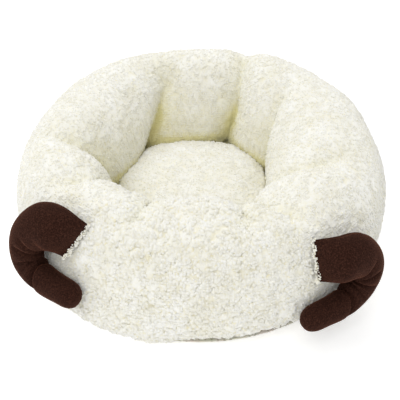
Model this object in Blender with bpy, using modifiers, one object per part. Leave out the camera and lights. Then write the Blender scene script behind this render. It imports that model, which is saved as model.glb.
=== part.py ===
"""Round pet bed: a stuffed ring with a lift-out cushion in its well and two stuffed ram's horns.

The ring is a fleece cover over one tube of fibre, drawn in by puckers over its crest and inner
wall. It stands on a flat base panel. The well floor is a pad under a fleece lining, and a
separate cushion lies on it, zipped underneath. Each horn is two fleece panels sewn round a
core of fibre, and its flat root is sewn to the ring where the front cover meets the back one.

Metres, +Z up, front towards -Y. The origin is on the floor under the middle of the ring.
"""

import math

import bmesh
import bpy
from mathutils import Vector

# The ring
BED_RADIUS = 0.258
BOLSTER_HEIGHT = 0.166
WIDEST_HEIGHT = 0.062
CROWN_ROUNDNESS = 2.2
FOOT_ROUNDNESS = 3.6
WELL_HALF_WIDTH = 0.108
WELL_HALF_DEPTH = 0.127
WELL_SIDE_SHIFT = -0.0046
WELL_BACK_SHIFT = 0.0214
COVER_THICKNESS = 0.0025

# The puckers: azimuth from +X in degrees, depth
PUCKERS = (
    (113.0, 0.012),
    (69.0, 0.015),
    (36.0, 0.011),
    (-26.0, 0.010),
    (-74.0, 0.006),
    (-113.0, 0.006),
    (-143.0, 0.010),
    (-172.0, 0.011),
)
PUCKER_WIDTH = math.radians(7.5)
PUCKER_CENTRE = math.radians(125.0)
PUCKER_REACH = math.radians(85.0)

# The floor of the well, from the ground up
BASE_INSET = 0.023
BASE_THICKNESS = 0.002
PADDING_THICKNESS = 0.010
LINING_THICKNESS = 0.002
FLOOR_CLEARANCE = 0.002

# The cushion
CUSHION_THICKNESS = 0.042
CUSHION_CLEARANCE = 0.003
CUSHION_ROUNDNESS = 3.0
CUSHION_FLATNESS = 4.0
CUSHION_COVER_THICKNESS = 0.002
CUSHION_SEAM_GAP = 0.0014

# The zip under the cushion
ZIP_LENGTH = 0.130
TAPE_WIDTH = 0.010
TAPE_THICKNESS = 0.0008
COIL_RADIUS = 0.0008
COIL_SPREAD = 0.00175
STOP_LENGTH = 0.003
SLIDER_LENGTH = 0.014
SLIDER_HALF_WIDTH = 0.0042
SLIDER_HALF_HEIGHT = 0.0019
SLIDER_PLATE = 0.0008
SLIDER_LIP = 0.0011
SLIDER_POST = 0.0004
ZIP_HEIGHT = 0.0021
CHANNEL_DEPTH = 0.0045

# The horns
HORN_PANEL_THICKNESS = 0.0015
HORN_SEAM_GAP = 0.0009
ROOT_HALF_WIDTH = 0.0265
ROOT_HALF_THICKNESS = 0.008
ROOT_SWELL = 0.16
BEND_HALF_WIDTH = 0.0265
BEND_HALF_THICKNESS = 0.0235
TIP_HALF_WIDTH = 0.0185
TIP_HALF_THICKNESS = 0.016
TIP_ROUNDING = 0.10
TIP_BLUNTNESS = 0.15
# Along the ring from the root, and up from it
LEFT_HORN_ROUTE = (
    (0.0, 0.0),
    (0.020, 0.0055),
    (0.044, -0.001),
    (0.060, -0.021),
    (0.053, -0.044),
    (0.029, -0.054),
    (0.004, -0.0566),
    (-0.020, -0.0585),
)
RIGHT_HORN_ROUTE = (
    (0.0, 0.0),
    (0.019, 0.0038),
    (0.044, -0.005),
    (0.061, -0.027),
    (0.055, -0.052),
    (0.030, -0.0665),
    (0.003, -0.0674),
    (-0.024, -0.068),
)
LEFT_ROOT_AZIMUTH = math.radians(-127.2)
RIGHT_ROOT_AZIMUTH = math.radians(-55.8)
LEFT_ROOT_DROP = 0.033
RIGHT_ROOT_DROP = 0.0517
# The line that each horn turns on, as azimuths and drops from the crest at its two ends
LEFT_HINGE = ((math.radians(-123.5), 0.018), (math.radians(-115.5), 0.105))
RIGHT_HINGE = ((math.radians(-59.0), 0.026), (math.radians(-68.0), 0.130))

GAP = 0.0003  # between pieces that touch

# Small steps for reading off a direction: an angle round the ring, a share of a horn's length
SLOPE_STEP = 0.001
ROUTE_STEP = 0.01

# Counts of facets
FRONT_SEGMENTS = 12
BACK_SEGMENTS = 48
SECTION_SEGMENTS = 18
COVER_OPEN_SEGMENTS = 2
CUSHION_SEGMENTS = 32
CUSHION_RINGS = 12
HORN_SEGMENTS = 16
HORN_RINGS = 16
ROUND_SEGMENTS = 48

FLOOR_OF_RING = BASE_THICKNESS + GAP
TOP_OF_PADDING = FLOOR_OF_RING + PADDING_THICKNESS
CUSHION_BOTTOM = TOP_OF_PADDING + GAP + LINING_THICKNESS + GAP

CREAM = (0.90, 0.88, 0.80)
BROWN = (0.045, 0.020, 0.013)


# ---------------------------------------------------------------- scene and shared steps

def clear_scene():
    for thing in list(bpy.data.objects):
        bpy.data.objects.remove(thing, do_unlink=True)


def new_collection(name):
    collection = bpy.data.collections.new(name)
    bpy.context.scene.collection.children.link(collection)
    return collection


def move_to(collection, thing):
    for holder in list(thing.users_collection):
        holder.objects.unlink(thing)
    collection.objects.link(thing)


def surface_material(name, colour, roughness, metallic=0.0):
    material = bpy.data.materials.new(name)
    material.use_nodes = True
    shader = material.node_tree.nodes["Principled BSDF"]
    shader.inputs["Base Color"].default_value = (*colour, 1.0)
    shader.inputs["Roughness"].default_value = roughness
    shader.inputs["Metallic"].default_value = metallic
    return material


def hinge_empty(name, place):
    empty = bpy.data.objects.new(name, None)
    empty.location = place
    bed_parts.objects.link(empty)
    return empty


def finish_part(part, name, material, parent=None):
    """Names a part, gives it its material and hangs it on its parent's origin."""
    part.name = name
    part.data.name = name
    part.data.materials.clear()
    part.data.materials.append(material)
    move_to(bed_parts, part)
    if parent is not None:
        part.data.transform(parent.matrix_world.inverted() @ part.matrix_world)
        part.matrix_world.identity()
        part.parent = parent
    return part


def part_from(name, mesh_builder, material, parent=None):
    mesh = bpy.data.meshes.new(name)
    mesh_builder.to_mesh(mesh)
    mesh_builder.free()
    mesh.shade_smooth()
    part = bpy.data.objects.new(name, mesh)
    bed_parts.objects.link(part)
    return finish_part(part, name, material, parent)


def thicken(part, thickness):
    """Turns an open surface into a wall that lies on its inner side."""
    solidify = part.modifiers.new("cloth", "SOLIDIFY")
    solidify.thickness = thickness
    solidify.offset = -1.0
    solidify.use_even_offset = False
    return part


def shrink_along_normals(mesh_builder, distance):
    mesh_builder.normal_update()
    moved = [corner.co - corner.normal * distance for corner in mesh_builder.verts]
    for corner, place in zip(mesh_builder.verts, moved):
        corner.co = place


def cut_from(part, cutter, name):
    boolean = part.modifiers.new(name, "BOOLEAN")
    boolean.operation = "DIFFERENCE"
    boolean.solver = "EXACT"
    boolean.object = cutter


def box_part(name, size, centre):
    bpy.ops.mesh.primitive_cube_add(size=1.0, location=centre)
    box = bpy.context.object
    box.name = name
    box.scale = size
    bpy.ops.object.transform_apply(location=False, rotation=False, scale=True)
    return box


def box_cutter(name, size, centre):
    cutter = box_part(name, size, centre)
    move_to(cutters, cutter)
    cutter.hide_render = True
    cutter.display_type = "WIRE"
    return cutter


# ---------------------------------------------------------------- the ring's shape

def signed_power(value, exponent):
    return math.copysign(abs(value) ** exponent, value)


def well_radius(azimuth):
    """Distance from the ring's axis to the edge of the oval, off-centre well."""
    along = Vector((math.cos(azimuth), math.sin(azimuth)))
    shift = Vector((WELL_SIDE_SHIFT, WELL_BACK_SHIFT))
    squeeze = Vector((1.0 / WELL_HALF_WIDTH ** 2, 1.0 / WELL_HALF_DEPTH ** 2))
    square = along.x ** 2 * squeeze.x + along.y ** 2 * squeeze.y
    cross = along.x * shift.x * squeeze.x + along.y * shift.y * squeeze.y
    rest = shift.x ** 2 * squeeze.x + shift.y ** 2 * squeeze.y - 1.0
    return (cross + math.sqrt(cross ** 2 - square * rest)) / square


def pucker_depth(azimuth, angle):
    """How far the cover is drawn in: most on the crest and the inner wall, nothing outside."""
    off = abs(math.remainder(angle - PUCKER_CENTRE, math.tau))
    reach = max(0.0, math.cos(min(off / PUCKER_REACH, 1.0) * math.pi / 2.0)) ** 2
    depth = 0.0
    for degrees, deepest in PUCKERS:
        turn = math.remainder(azimuth - math.radians(degrees), math.tau)
        depth += deepest * math.exp(-((turn / PUCKER_WIDTH) ** 2))
    return depth * reach


def ring_point(azimuth, angle):
    """A point of the ring's outer cloth: angle 0 is outermost, 90 degrees the crest."""
    inner = well_radius(azimuth)
    middle = (BED_RADIUS + inner) / 2.0
    half_width = (BED_RADIUS - inner) / 2.0
    rise = math.sin(angle)
    roundness = CROWN_ROUNDNESS if rise >= 0.0 else FOOT_ROUNDNESS
    top = BOLSTER_HEIGHT - WIDEST_HEIGHT
    reach = top if rise >= 0.0 else WIDEST_HEIGHT - FLOOR_OF_RING
    out = half_width * signed_power(math.cos(angle), 2.0 / roundness)
    up = reach * signed_power(rise, 2.0 / roundness)
    section = Vector((out, up))
    if section.length > 0.0:
        section -= section.normalized() * pucker_depth(azimuth, angle)
    radius = middle + section.x
    return Vector((
        radius * math.cos(azimuth),
        radius * math.sin(azimuth),
        WIDEST_HEIGHT + section.y,
    ))


def ring_normal(azimuth, angle):
    here = ring_point(azimuth, angle)
    round_the_ring = ring_point(azimuth + SLOPE_STEP, angle) - here
    round_the_tube = ring_point(azimuth, angle + SLOPE_STEP) - here
    return round_the_ring.cross(round_the_tube).normalized()


def angle_at_height(height):
    """The section angle at which the outer side of the ring has this height."""
    if height >= WIDEST_HEIGHT:
        share = (height - WIDEST_HEIGHT) / (BOLSTER_HEIGHT - WIDEST_HEIGHT)
        return math.asin(share ** (CROWN_ROUNDNESS / 2.0))
    share = (WIDEST_HEIGHT - height) / (WIDEST_HEIGHT - FLOOR_OF_RING)
    return -math.asin(share ** (FOOT_ROUNDNESS / 2.0))


def section_angles(count, skipped):
    """Even steps round the tube, starting and ending beside its foot."""
    step = math.tau / count
    first = -math.pi / 2.0 + step * skipped / 2.0
    return [first + step * k for k in range(count - skipped + 1)]


def even_steps(first, last, count):
    return [first + (last - first) * k / count for k in range(count + 1)]


def ring_patch(azimuths, angles):
    """An open sheet over the ring, whose two long edges come down to the base panel."""
    sheet = bmesh.new()
    bmesh.ops.create_grid(
        sheet, x_segments=len(azimuths) - 1, y_segments=len(angles) - 1, size=1.0
    )
    for corner in sheet.verts:
        column = round((corner.co.x + 1.0) / 2.0 * (len(azimuths) - 1))
        row = round((corner.co.y + 1.0) / 2.0 * (len(angles) - 1))
        corner.co = ring_point(azimuths[column], angles[row])
        if row in (0, len(angles) - 1):
            corner.co.z = FLOOR_OF_RING
    return sheet


def cover_azimuths(first, last, count):
    """Even steps that stop half a gap short of each seam, at the tight inner wall too."""
    clearance = GAP / 2.0 / WELL_HALF_WIDTH
    return even_steps(first + clearance, last - clearance, count)


# ---------------------------------------------------------------- the ring's pieces

def make_bolster_cover(name, azimuths, material):
    sheet = ring_patch(azimuths, section_angles(SECTION_SEGMENTS, COVER_OPEN_SEGMENTS))
    return thicken(part_from(name, sheet, material), COVER_THICKNESS)


def make_bolster_filling(material):
    front = even_steps(LEFT_ROOT_AZIMUTH, RIGHT_ROOT_AZIMUTH, FRONT_SEGMENTS)
    back = even_steps(RIGHT_ROOT_AZIMUTH, LEFT_ROOT_AZIMUTH + math.tau, BACK_SEGMENTS)
    azimuths = front + back[1:]
    angles = section_angles(SECTION_SEGMENTS, 0)
    tube = ring_patch(azimuths, angles)
    bmesh.ops.remove_doubles(tube, verts=tube.verts, dist=1e-6)
    foot = [corner for corner in tube.verts if corner.co.z < FLOOR_OF_RING + GAP]
    shrink_along_normals(tube, COVER_THICKNESS + GAP)
    for corner in foot:
        corner.co.z = FLOOR_OF_RING
    return part_from("bolster_filling", tube, material)


def oval_disc(name, half_width, half_depth, bottom, thickness, material):
    bpy.ops.mesh.primitive_cylinder_add(
        vertices=ROUND_SEGMENTS,
        radius=1.0,
        depth=thickness,
        location=(WELL_SIDE_SHIFT, WELL_BACK_SHIFT, bottom + thickness / 2.0),
    )
    disc = bpy.context.object
    disc.scale = (half_width, half_depth, 1.0)
    bpy.ops.object.transform_apply(location=False, rotation=False, scale=True)
    return finish_part(disc, name, material)


def make_floor(panel_material, padding_material, lining_material):
    bpy.ops.mesh.primitive_cylinder_add(
        vertices=ROUND_SEGMENTS,
        radius=BED_RADIUS - BASE_INSET,
        depth=BASE_THICKNESS,
        location=(0.0, 0.0, BASE_THICKNESS / 2.0),
    )
    finish_part(bpy.context.object, "base_panel", panel_material)
    half_width = WELL_HALF_WIDTH - FLOOR_CLEARANCE
    half_depth = WELL_HALF_DEPTH - FLOOR_CLEARANCE
    oval_disc("base_padding", half_width, half_depth, FLOOR_OF_RING, PADDING_THICKNESS,
              padding_material)
    oval_disc("floor_lining", half_width, half_depth, TOP_OF_PADDING + GAP, LINING_THICKNESS,
              lining_material)


# ---------------------------------------------------------------- the cushion

def cushion_ball(keep_above=None):
    """A ball pressed into the well's oval: domed above its seam and flat below."""
    ball = bmesh.new()
    bmesh.ops.create_uvsphere(
        ball, u_segments=CUSHION_SEGMENTS, v_segments=CUSHION_RINGS, radius=1.0
    )
    if keep_above is not None:
        unwanted = [
            face for face in ball.faces
            if (face.calc_center_median().z > 0.0) != keep_above
        ]
        bmesh.ops.delete(ball, geom=unwanted, context="FACES")
    half_width = WELL_HALF_WIDTH - CUSHION_CLEARANCE
    half_depth = WELL_HALF_DEPTH - CUSHION_CLEARANCE
    middle = CUSHION_BOTTOM + CUSHION_THICKNESS / 2.0
    for corner in ball.verts:
        level = max(-1.0, min(1.0, corner.co.z))
        turn = math.atan2(corner.co.y, corner.co.x)
        roundness = CUSHION_ROUNDNESS if level >= 0.0 else CUSHION_FLATNESS
        out = max(0.0, 1.0 - level ** 2) ** (1.0 / roundness)
        corner.co = Vector((
            WELL_SIDE_SHIFT + half_width * out * math.cos(turn),
            WELL_BACK_SHIFT + half_depth * out * math.sin(turn),
            middle + CUSHION_THICKNESS / 2.0 * signed_power(level, 2.0 / roundness),
        ))
    return ball


def make_cushion(parent, cover_material, underside_material, filling_material):
    top = cushion_ball(keep_above=True)
    for corner in top.verts:
        corner.co.z += CUSHION_SEAM_GAP
    thicken(part_from("cushion_top_cover", top, cover_material, parent),
            CUSHION_COVER_THICKNESS)

    under = part_from("cushion_bottom_cover", cushion_ball(keep_above=False),
                      underside_material, parent)
    thicken(under, CUSHION_COVER_THICKNESS)
    slot_half_width = COIL_SPREAD + COIL_RADIUS + GAP + TAPE_WIDTH + GAP
    slot_length = ZIP_LENGTH + 2.0 * GAP
    centre = (WELL_SIDE_SHIFT, WELL_BACK_SHIFT, CUSHION_BOTTOM)
    slot = box_cutter("zip_slot_cutter",
                      (2.0 * slot_half_width, slot_length, 2.0 * CHANNEL_DEPTH), centre)
    cut_from(under, slot, "zip slot")

    core = cushion_ball()
    shrink_along_normals(core, CUSHION_COVER_THICKNESS + GAP)
    filling = part_from("cushion_filling", core, filling_material, parent)
    cut_from(filling, slot, "zip channel")


def outlined_bar(name, outline, length, centre):
    """A bar along Y whose section is a closed outline in X and Z."""
    curve = bpy.data.curves.new(name, "CURVE")
    curve.dimensions = "2D"
    curve.fill_mode = "BOTH"
    curve.extrude = length / 2.0
    spline = curve.splines.new("POLY")
    spline.points.add(len(outline) - 1)
    for point, (across, up) in zip(spline.points, outline):
        point.co = (across, up, 0.0, 1.0)
    spline.use_cyclic_u = True
    bar = bpy.data.objects.new(name, curve)
    bar.location = centre
    bar.rotation_euler = (math.pi / 2.0, 0.0, 0.0)
    bed_parts.objects.link(bar)
    return bar


def slider_outline():
    """Two plates with turned-in lips, joined by the post that runs between the coils."""
    wall = SLIDER_HALF_HEIGHT - SLIDER_PLATE
    lip_inside = SLIDER_HALF_WIDTH - SLIDER_LIP
    tape_slit = TAPE_THICKNESS / 2.0 + GAP
    upper_right = [
        (SLIDER_POST, wall),
        (lip_inside, wall),
        (lip_inside, tape_slit),
        (SLIDER_HALF_WIDTH, tape_slit),
        (SLIDER_HALF_WIDTH, SLIDER_HALF_HEIGHT),
    ]
    upper_left = [(-across, up) for across, up in reversed(upper_right)]
    lower_left = [(-across, -up) for across, up in upper_right]
    lower_right = [(across, -up) for across, up in reversed(upper_right)]
    return upper_right + upper_left + lower_left + lower_right


def make_zip(parent, tape_material, coil_material, metal_material):
    level = CUSHION_BOTTOM + ZIP_HEIGHT
    coil_length = ZIP_LENGTH - 2.0 * (STOP_LENGTH + GAP)
    tape_inside = COIL_SPREAD + COIL_RADIUS + GAP
    for side, name in ((-1.0, "left"), (1.0, "right")):
        tape_middle = WELL_SIDE_SHIFT + side * (tape_inside + TAPE_WIDTH / 2.0)
        tape = box_part("tape", (TAPE_WIDTH, ZIP_LENGTH, TAPE_THICKNESS),
                        (tape_middle, WELL_BACK_SHIFT, level))
        bpy.context.view_layer.update()
        finish_part(tape, f"zip_tape_{name}", tape_material, parent)
        bpy.ops.mesh.primitive_cylinder_add(
            vertices=12,
            radius=COIL_RADIUS,
            depth=coil_length,
            location=(WELL_SIDE_SHIFT + side * COIL_SPREAD, WELL_BACK_SHIFT, level),
            rotation=(math.pi / 2.0, 0.0, 0.0),
        )
        coil = bpy.context.object
        bpy.context.view_layer.update()
        finish_part(coil, f"zip_coil_{name}", coil_material, parent)
    for side, name in ((-1.0, "front"), (1.0, "back")):
        stop_middle = WELL_BACK_SHIFT + side * (ZIP_LENGTH - STOP_LENGTH) / 2.0
        stop = box_part("stop", (2.0 * (tape_inside - GAP), STOP_LENGTH, 2.0 * COIL_RADIUS),
                        (WELL_SIDE_SHIFT, stop_middle, level))
        bpy.context.view_layer.update()
        finish_part(stop, f"zip_stop_{name}", metal_material, parent)
    parked = (coil_length - SLIDER_LENGTH) / 2.0
    slider_place = Vector((WELL_SIDE_SHIFT, WELL_BACK_SHIFT - parked, level))
    runner = hinge_empty("zip_slider_runner", slider_place - parent.location)
    runner.parent = parent
    bpy.context.view_layer.update()
    slider = outlined_bar("zip_slider", slider_outline(), SLIDER_LENGTH, (0.0, 0.0, 0.0))
    slider.data.materials.append(metal_material)
    slider.parent = runner


# ---------------------------------------------------------------- the horns

def smooth_route(points, share):
    """A point of the curve that passes smoothly through the route's points."""
    place = share * (len(points) - 1)
    start = min(int(place), len(points) - 2)
    part = place - start
    before = Vector(points[max(start - 1, 0)])
    here = Vector(points[start])
    there = Vector(points[start + 1])
    after = Vector(points[min(start + 2, len(points) - 1)])
    return (
        here
        + (there - before) * (0.5 * part)
        + (before - here * 2.5 + there * 2.0 - after * 0.5) * part ** 2
        + (after - before + (here - there) * 3.0) * (0.5 * part ** 3)
    )


def ease(value):
    """Rises smoothly from 0 to 1."""
    value = max(0.0, min(1.0, value))
    return value * value * (3.0 - 2.0 * value)


def horn_half_sizes(share):
    """Half the width and half the thickness of a horn at a share of its length."""
    swell = ease(share / ROOT_SWELL)
    along = ease((share - ROOT_SWELL) / (1.0 - ROOT_SWELL))
    width = ROOT_HALF_WIDTH + (BEND_HALF_WIDTH - ROOT_HALF_WIDTH) * swell
    width += (TIP_HALF_WIDTH - BEND_HALF_WIDTH) * along
    thickness = ROOT_HALF_THICKNESS + (BEND_HALF_THICKNESS - ROOT_HALF_THICKNESS) * swell
    thickness += (TIP_HALF_THICKNESS - BEND_HALF_THICKNESS) * along
    return width, thickness


def horn_centre(route, root_azimuth, root_height, side, share):
    """A point of a horn's centre line, standing off the ring by half its thickness."""
    run, rise = smooth_route(route, share)
    azimuth = root_azimuth + side * run / BED_RADIUS
    angle = angle_at_height(root_height + rise)
    stand_off = horn_half_sizes(share)[1] + HORN_SEAM_GAP + GAP
    normal = ring_normal(azimuth, angle)
    return ring_point(azimuth, angle) + normal * stand_off, normal


def horn_frame(route, root_azimuth, root_height, side, share):
    """Centre, width direction and thickness direction of a horn's section."""
    low = max(0.0, share - ROUTE_STEP)
    high = min(1.0, share + ROUTE_STEP)
    behind = horn_centre(route, root_azimuth, root_height, side, low)[0]
    ahead = horn_centre(route, root_azimuth, root_height, side, high)[0]
    centre, outward = horn_centre(route, root_azimuth, root_height, side, share)
    along = (ahead - behind).normalized()
    across = outward.cross(along).normalized()
    return centre, across, along.cross(across).normalized()


def horn_ball(horn, half=0):
    """A ball drawn out along the horn: one pole is the flat root and the other the tip."""
    route, root_azimuth, root_height, side = horn
    ball = bmesh.new()
    bmesh.ops.create_uvsphere(ball, u_segments=HORN_SEGMENTS, v_segments=HORN_RINGS, radius=1.0)
    if half:
        unwanted = [face for face in ball.faces if face.calc_center_median().y * half < 0.0]
        bmesh.ops.delete(ball, geom=unwanted, context="FACES")
    for corner in ball.verts:
        level = max(-1.0, min(1.0, corner.co.z))
        share = math.acos(-level) / math.pi
        # The pole rings close the root and the tip, so the rings between span the length.
        ring_step = 1.0 / HORN_RINGS
        length_share = (share - ring_step) / (1.0 - 2.0 * ring_step)
        length_share = max(0.0, min(1.0, length_share))
        width, thickness = horn_half_sizes(length_share)
        rounding = min(1.0, (1.0 - length_share) / TIP_ROUNDING)
        narrowing = math.sqrt(max(TIP_BLUNTNESS, 1.0 - (1.0 - rounding) ** 2))
        centre, across, outward = horn_frame(route, root_azimuth, root_height, side, length_share)
        if min(share, 1.0 - share) < ring_step / 2.0:
            corner.co = centre + outward * (HORN_SEAM_GAP * half)
            continue
        turn = math.atan2(corner.co.y, corner.co.x)
        corner.co = (
            centre
            + across * (width * narrowing * math.cos(turn))
            + outward * (thickness * narrowing * math.sin(turn) + HORN_SEAM_GAP * half)
        )
    return ball


def hinge_ends(hinge):
    ends = []
    for azimuth, drop in hinge:
        ends.append(ring_point(azimuth, angle_at_height(BOLSTER_HEIGHT - drop)))
    return ends


def make_horn(name, horn, hinge, panel_material, filling_material):
    top, bottom = hinge_ends(hinge)
    print(f"{name} hinge: at {tuple(round(v, 4) for v in top)}, "
          f"axis {tuple(round(v, 4) for v in (top - bottom).normalized())}")
    turner = hinge_empty(f"{name}_hinge", top)
    bpy.context.view_layer.update()
    outer = part_from(f"{name}_outer_panel", horn_ball(horn, 1), panel_material, turner)
    inner = part_from(f"{name}_inner_panel", horn_ball(horn, -1), panel_material, turner)
    thicken(outer, HORN_PANEL_THICKNESS)
    thicken(inner, HORN_PANEL_THICKNESS)
    core = horn_ball(horn)
    shrink_along_normals(core, HORN_PANEL_THICKNESS + HORN_SEAM_GAP + GAP)
    part_from(f"{name}_filling", core, filling_material, turner)


# ---------------------------------------------------------------- the bed

clear_scene()
bed_parts = new_collection("ram_pet_bed")
cutters = new_collection("cutters")

fleece = surface_material("cream_fleece", CREAM, 0.95)
smooth_fleece = surface_material("cream_lining", (0.86, 0.83, 0.74), 0.95)
brown_fleece = surface_material("brown_fleece", BROWN, 0.90)
fibre = surface_material("white_fibre", (0.93, 0.93, 0.93), 1.0)
non_slip = surface_material("non_slip_cloth", (0.55, 0.53, 0.48), 0.85)
zip_tape = surface_material("zip_tape_cloth", (0.84, 0.81, 0.72), 0.90)
zip_nylon = surface_material("zip_nylon", (0.86, 0.84, 0.78), 0.45)
zip_metal = surface_material("zip_metal", (0.62, 0.62, 0.60), 0.35, 1.0)

make_floor(non_slip, fibre, smooth_fleece)
make_bolster_filling(fibre)
make_bolster_cover(
    "bolster_front_cover",
    cover_azimuths(LEFT_ROOT_AZIMUTH, RIGHT_ROOT_AZIMUTH, FRONT_SEGMENTS),
    fleece,
)
make_bolster_cover(
    "bolster_back_cover",
    cover_azimuths(RIGHT_ROOT_AZIMUTH, LEFT_ROOT_AZIMUTH + math.tau, BACK_SEGMENTS),
    fleece,
)

cushion_lift = hinge_empty("cushion_lift", (WELL_SIDE_SHIFT, WELL_BACK_SHIFT, CUSHION_BOTTOM))
bpy.context.view_layer.update()
make_cushion(cushion_lift, fleece, smooth_fleece, fibre)
make_zip(cushion_lift, zip_tape, zip_nylon, zip_metal)

left_horn = (LEFT_HORN_ROUTE, LEFT_ROOT_AZIMUTH, BOLSTER_HEIGHT - LEFT_ROOT_DROP, -1.0)
right_horn = (RIGHT_HORN_ROUTE, RIGHT_ROOT_AZIMUTH, BOLSTER_HEIGHT - RIGHT_ROOT_DROP, 1.0)
make_horn("left_horn", left_horn, LEFT_HINGE, brown_fleece, fibre)
make_horn("right_horn", right_horn, RIGHT_HINGE, brown_fleece, fibre)
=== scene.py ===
import math

import bpy
import numpy as np
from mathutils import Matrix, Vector
from mathutils.bvhtree import BVHTree


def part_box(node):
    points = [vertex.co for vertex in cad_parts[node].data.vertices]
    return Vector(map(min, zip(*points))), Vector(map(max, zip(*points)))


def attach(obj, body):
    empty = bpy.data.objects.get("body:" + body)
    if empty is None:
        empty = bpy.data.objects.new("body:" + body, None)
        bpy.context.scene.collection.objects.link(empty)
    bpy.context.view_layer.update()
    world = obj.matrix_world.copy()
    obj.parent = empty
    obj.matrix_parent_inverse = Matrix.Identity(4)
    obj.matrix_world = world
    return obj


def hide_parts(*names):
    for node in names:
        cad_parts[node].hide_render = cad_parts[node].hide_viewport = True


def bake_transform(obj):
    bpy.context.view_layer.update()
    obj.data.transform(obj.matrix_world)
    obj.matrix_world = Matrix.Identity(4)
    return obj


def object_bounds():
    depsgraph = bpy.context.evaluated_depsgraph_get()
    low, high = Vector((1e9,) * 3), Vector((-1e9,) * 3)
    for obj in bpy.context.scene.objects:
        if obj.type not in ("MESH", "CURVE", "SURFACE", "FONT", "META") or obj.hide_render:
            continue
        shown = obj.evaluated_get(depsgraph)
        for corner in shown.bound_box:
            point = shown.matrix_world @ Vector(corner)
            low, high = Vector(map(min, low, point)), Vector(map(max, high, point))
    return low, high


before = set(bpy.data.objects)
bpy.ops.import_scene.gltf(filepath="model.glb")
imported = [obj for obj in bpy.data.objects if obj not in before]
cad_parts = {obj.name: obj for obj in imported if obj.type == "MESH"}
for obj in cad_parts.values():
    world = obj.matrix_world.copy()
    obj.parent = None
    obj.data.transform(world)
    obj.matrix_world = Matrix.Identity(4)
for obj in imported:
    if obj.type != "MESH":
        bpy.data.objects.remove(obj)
cad_low, cad_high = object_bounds()
bpy.ops.object.select_all(action="DESELECT")


# ---------------------------------------------------------------- base panel
# The bed stands on one round of woven cloth, printed underneath with small rubbery dots that
# stop it sliding. The foot of the stuffed ring is sewn to it all the way round.

GRIP_DOT_PITCH = 0.008
GRIP_DOT_WEAR = 0.25
CLOTH_THREAD = 0.0009


def new_finish(name):
    """A material with its Principled shader, ready for the nodes of its pattern."""
    finish = bpy.data.materials.new(name)
    finish.use_nodes = True
    nodes = finish.node_tree.nodes
    shader = nodes["Principled BSDF"]
    place = nodes.new("ShaderNodeTexCoord")
    return finish, nodes, finish.node_tree.links, shader, place


def noise_pattern(nodes, links, place, size, detail=2.0):
    """A soft random mottle whose spots are about this many metres across."""
    mottle = nodes.new("ShaderNodeTexNoise")
    mottle.inputs["Scale"].default_value = 1.0 / size
    mottle.inputs["Detail"].default_value = detail
    links.new(place.outputs["Object"], mottle.inputs["Vector"])
    return mottle


def colour_ramp(nodes, links, source, *stops):
    """Turns a value into a colour; each stop is a value and a colour."""
    ramp = nodes.new("ShaderNodeValToRGB")
    elements = ramp.color_ramp.elements
    while len(elements) < len(stops):
        elements.new(0.5)
    for element, (position, colour) in zip(elements, stops):
        element.position = position
        element.color = (*colour, 1.0)
    links.new(source, ramp.inputs["Fac"])
    return ramp


def multiply_colours(nodes, links, first, second, share=1.0):
    """Tints one colour with another, by this share of its strength."""
    mixed = nodes.new("ShaderNodeMix")
    mixed.data_type = "RGBA"
    mixed.blend_type = "MULTIPLY"
    mixed.inputs["Factor"].default_value = share
    links.new(first, mixed.inputs["A"])
    links.new(second, mixed.inputs["B"])
    return mixed


def raise_bumps(nodes, links, shader, height, depth, strength=1.0, under=None):
    """Stands a pattern's height out of the surface, on top of the bumps already there."""
    bump = nodes.new("ShaderNodeBump")
    bump.inputs["Distance"].default_value = depth
    bump.inputs["Strength"].default_value = strength
    links.new(height, bump.inputs["Height"])
    if under is not None:
        links.new(under.outputs["Normal"], bump.inputs["Normal"])
    links.new(bump.outputs["Normal"], shader.inputs["Normal"])
    return bump


def weave_pattern(nodes, links, place, thread):
    """Warp and weft as two sets of fine ridges, the higher of the two taken at each point."""
    ridges = []
    for direction in ("X", "Y"):
        wave = nodes.new("ShaderNodeTexWave")
        wave.bands_direction = direction
        wave.inputs["Scale"].default_value = 1.0 / thread / math.tau
        wave.inputs["Distortion"].default_value = 0.6
        links.new(place.outputs["Object"], wave.inputs["Vector"])
        ridges.append(wave)
    crossing = nodes.new("ShaderNodeMath")
    crossing.operation = "MAXIMUM"
    links.new(ridges[0].outputs["Fac"], crossing.inputs[0])
    links.new(ridges[1].outputs["Fac"], crossing.inputs[1])
    return crossing


def non_slip_cloth():
    finish, nodes, links, shader, place = new_finish("non_slip_cloth")
    shader.inputs["Roughness"].default_value = 0.85
    dots = nodes.new("ShaderNodeTexVoronoi")
    dots.inputs["Scale"].default_value = 1.0 / GRIP_DOT_PITCH
    dots.inputs["Randomness"].default_value = 0.0
    links.new(place.outputs["Object"], dots.inputs["Vector"])
    dot_colour = colour_ramp(
        nodes, links, dots.outputs["Distance"],
        (0.26, (0.50, 0.47, 0.38)), (0.32, (0.80, 0.77, 0.68)),
    )
    mottle = noise_pattern(nodes, links, place, 0.02, 4.0)
    worn = multiply_colours(
        nodes, links, dot_colour.outputs["Color"], mottle.outputs["Color"], GRIP_DOT_WEAR
    )
    links.new(worn.outputs["Result"], shader.inputs["Base Color"])
    weave = weave_pattern(nodes, links, place, CLOTH_THREAD)
    threads = raise_bumps(nodes, links, shader, weave.outputs["Value"], 0.0002, 0.7)
    raise_bumps(nodes, links, shader, dot_colour.outputs["Alpha"], 0.0005, 1.0, threads)
    return finish


def refinish(node, finish):
    """Gives a CAD node its finish in every material slot."""
    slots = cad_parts[node].material_slots
    for slot in slots:
        slot.material = finish


refinish("base_panel", non_slip_cloth())


# ---------------------------------------------------------------- floor of the well
# Under the cushion the well has a fixed floor: a thin quilted pad covered in short smooth pile,
# dished a little in the middle and turned under round its edge.

FLOOR_EDGE_ROUND = 0.0035
FLOOR_DISH = 0.0022
QUILT_PITCH = 0.034
QUILT_GROOVE = 0.0016
FLOOR_RINGS = 18


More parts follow.
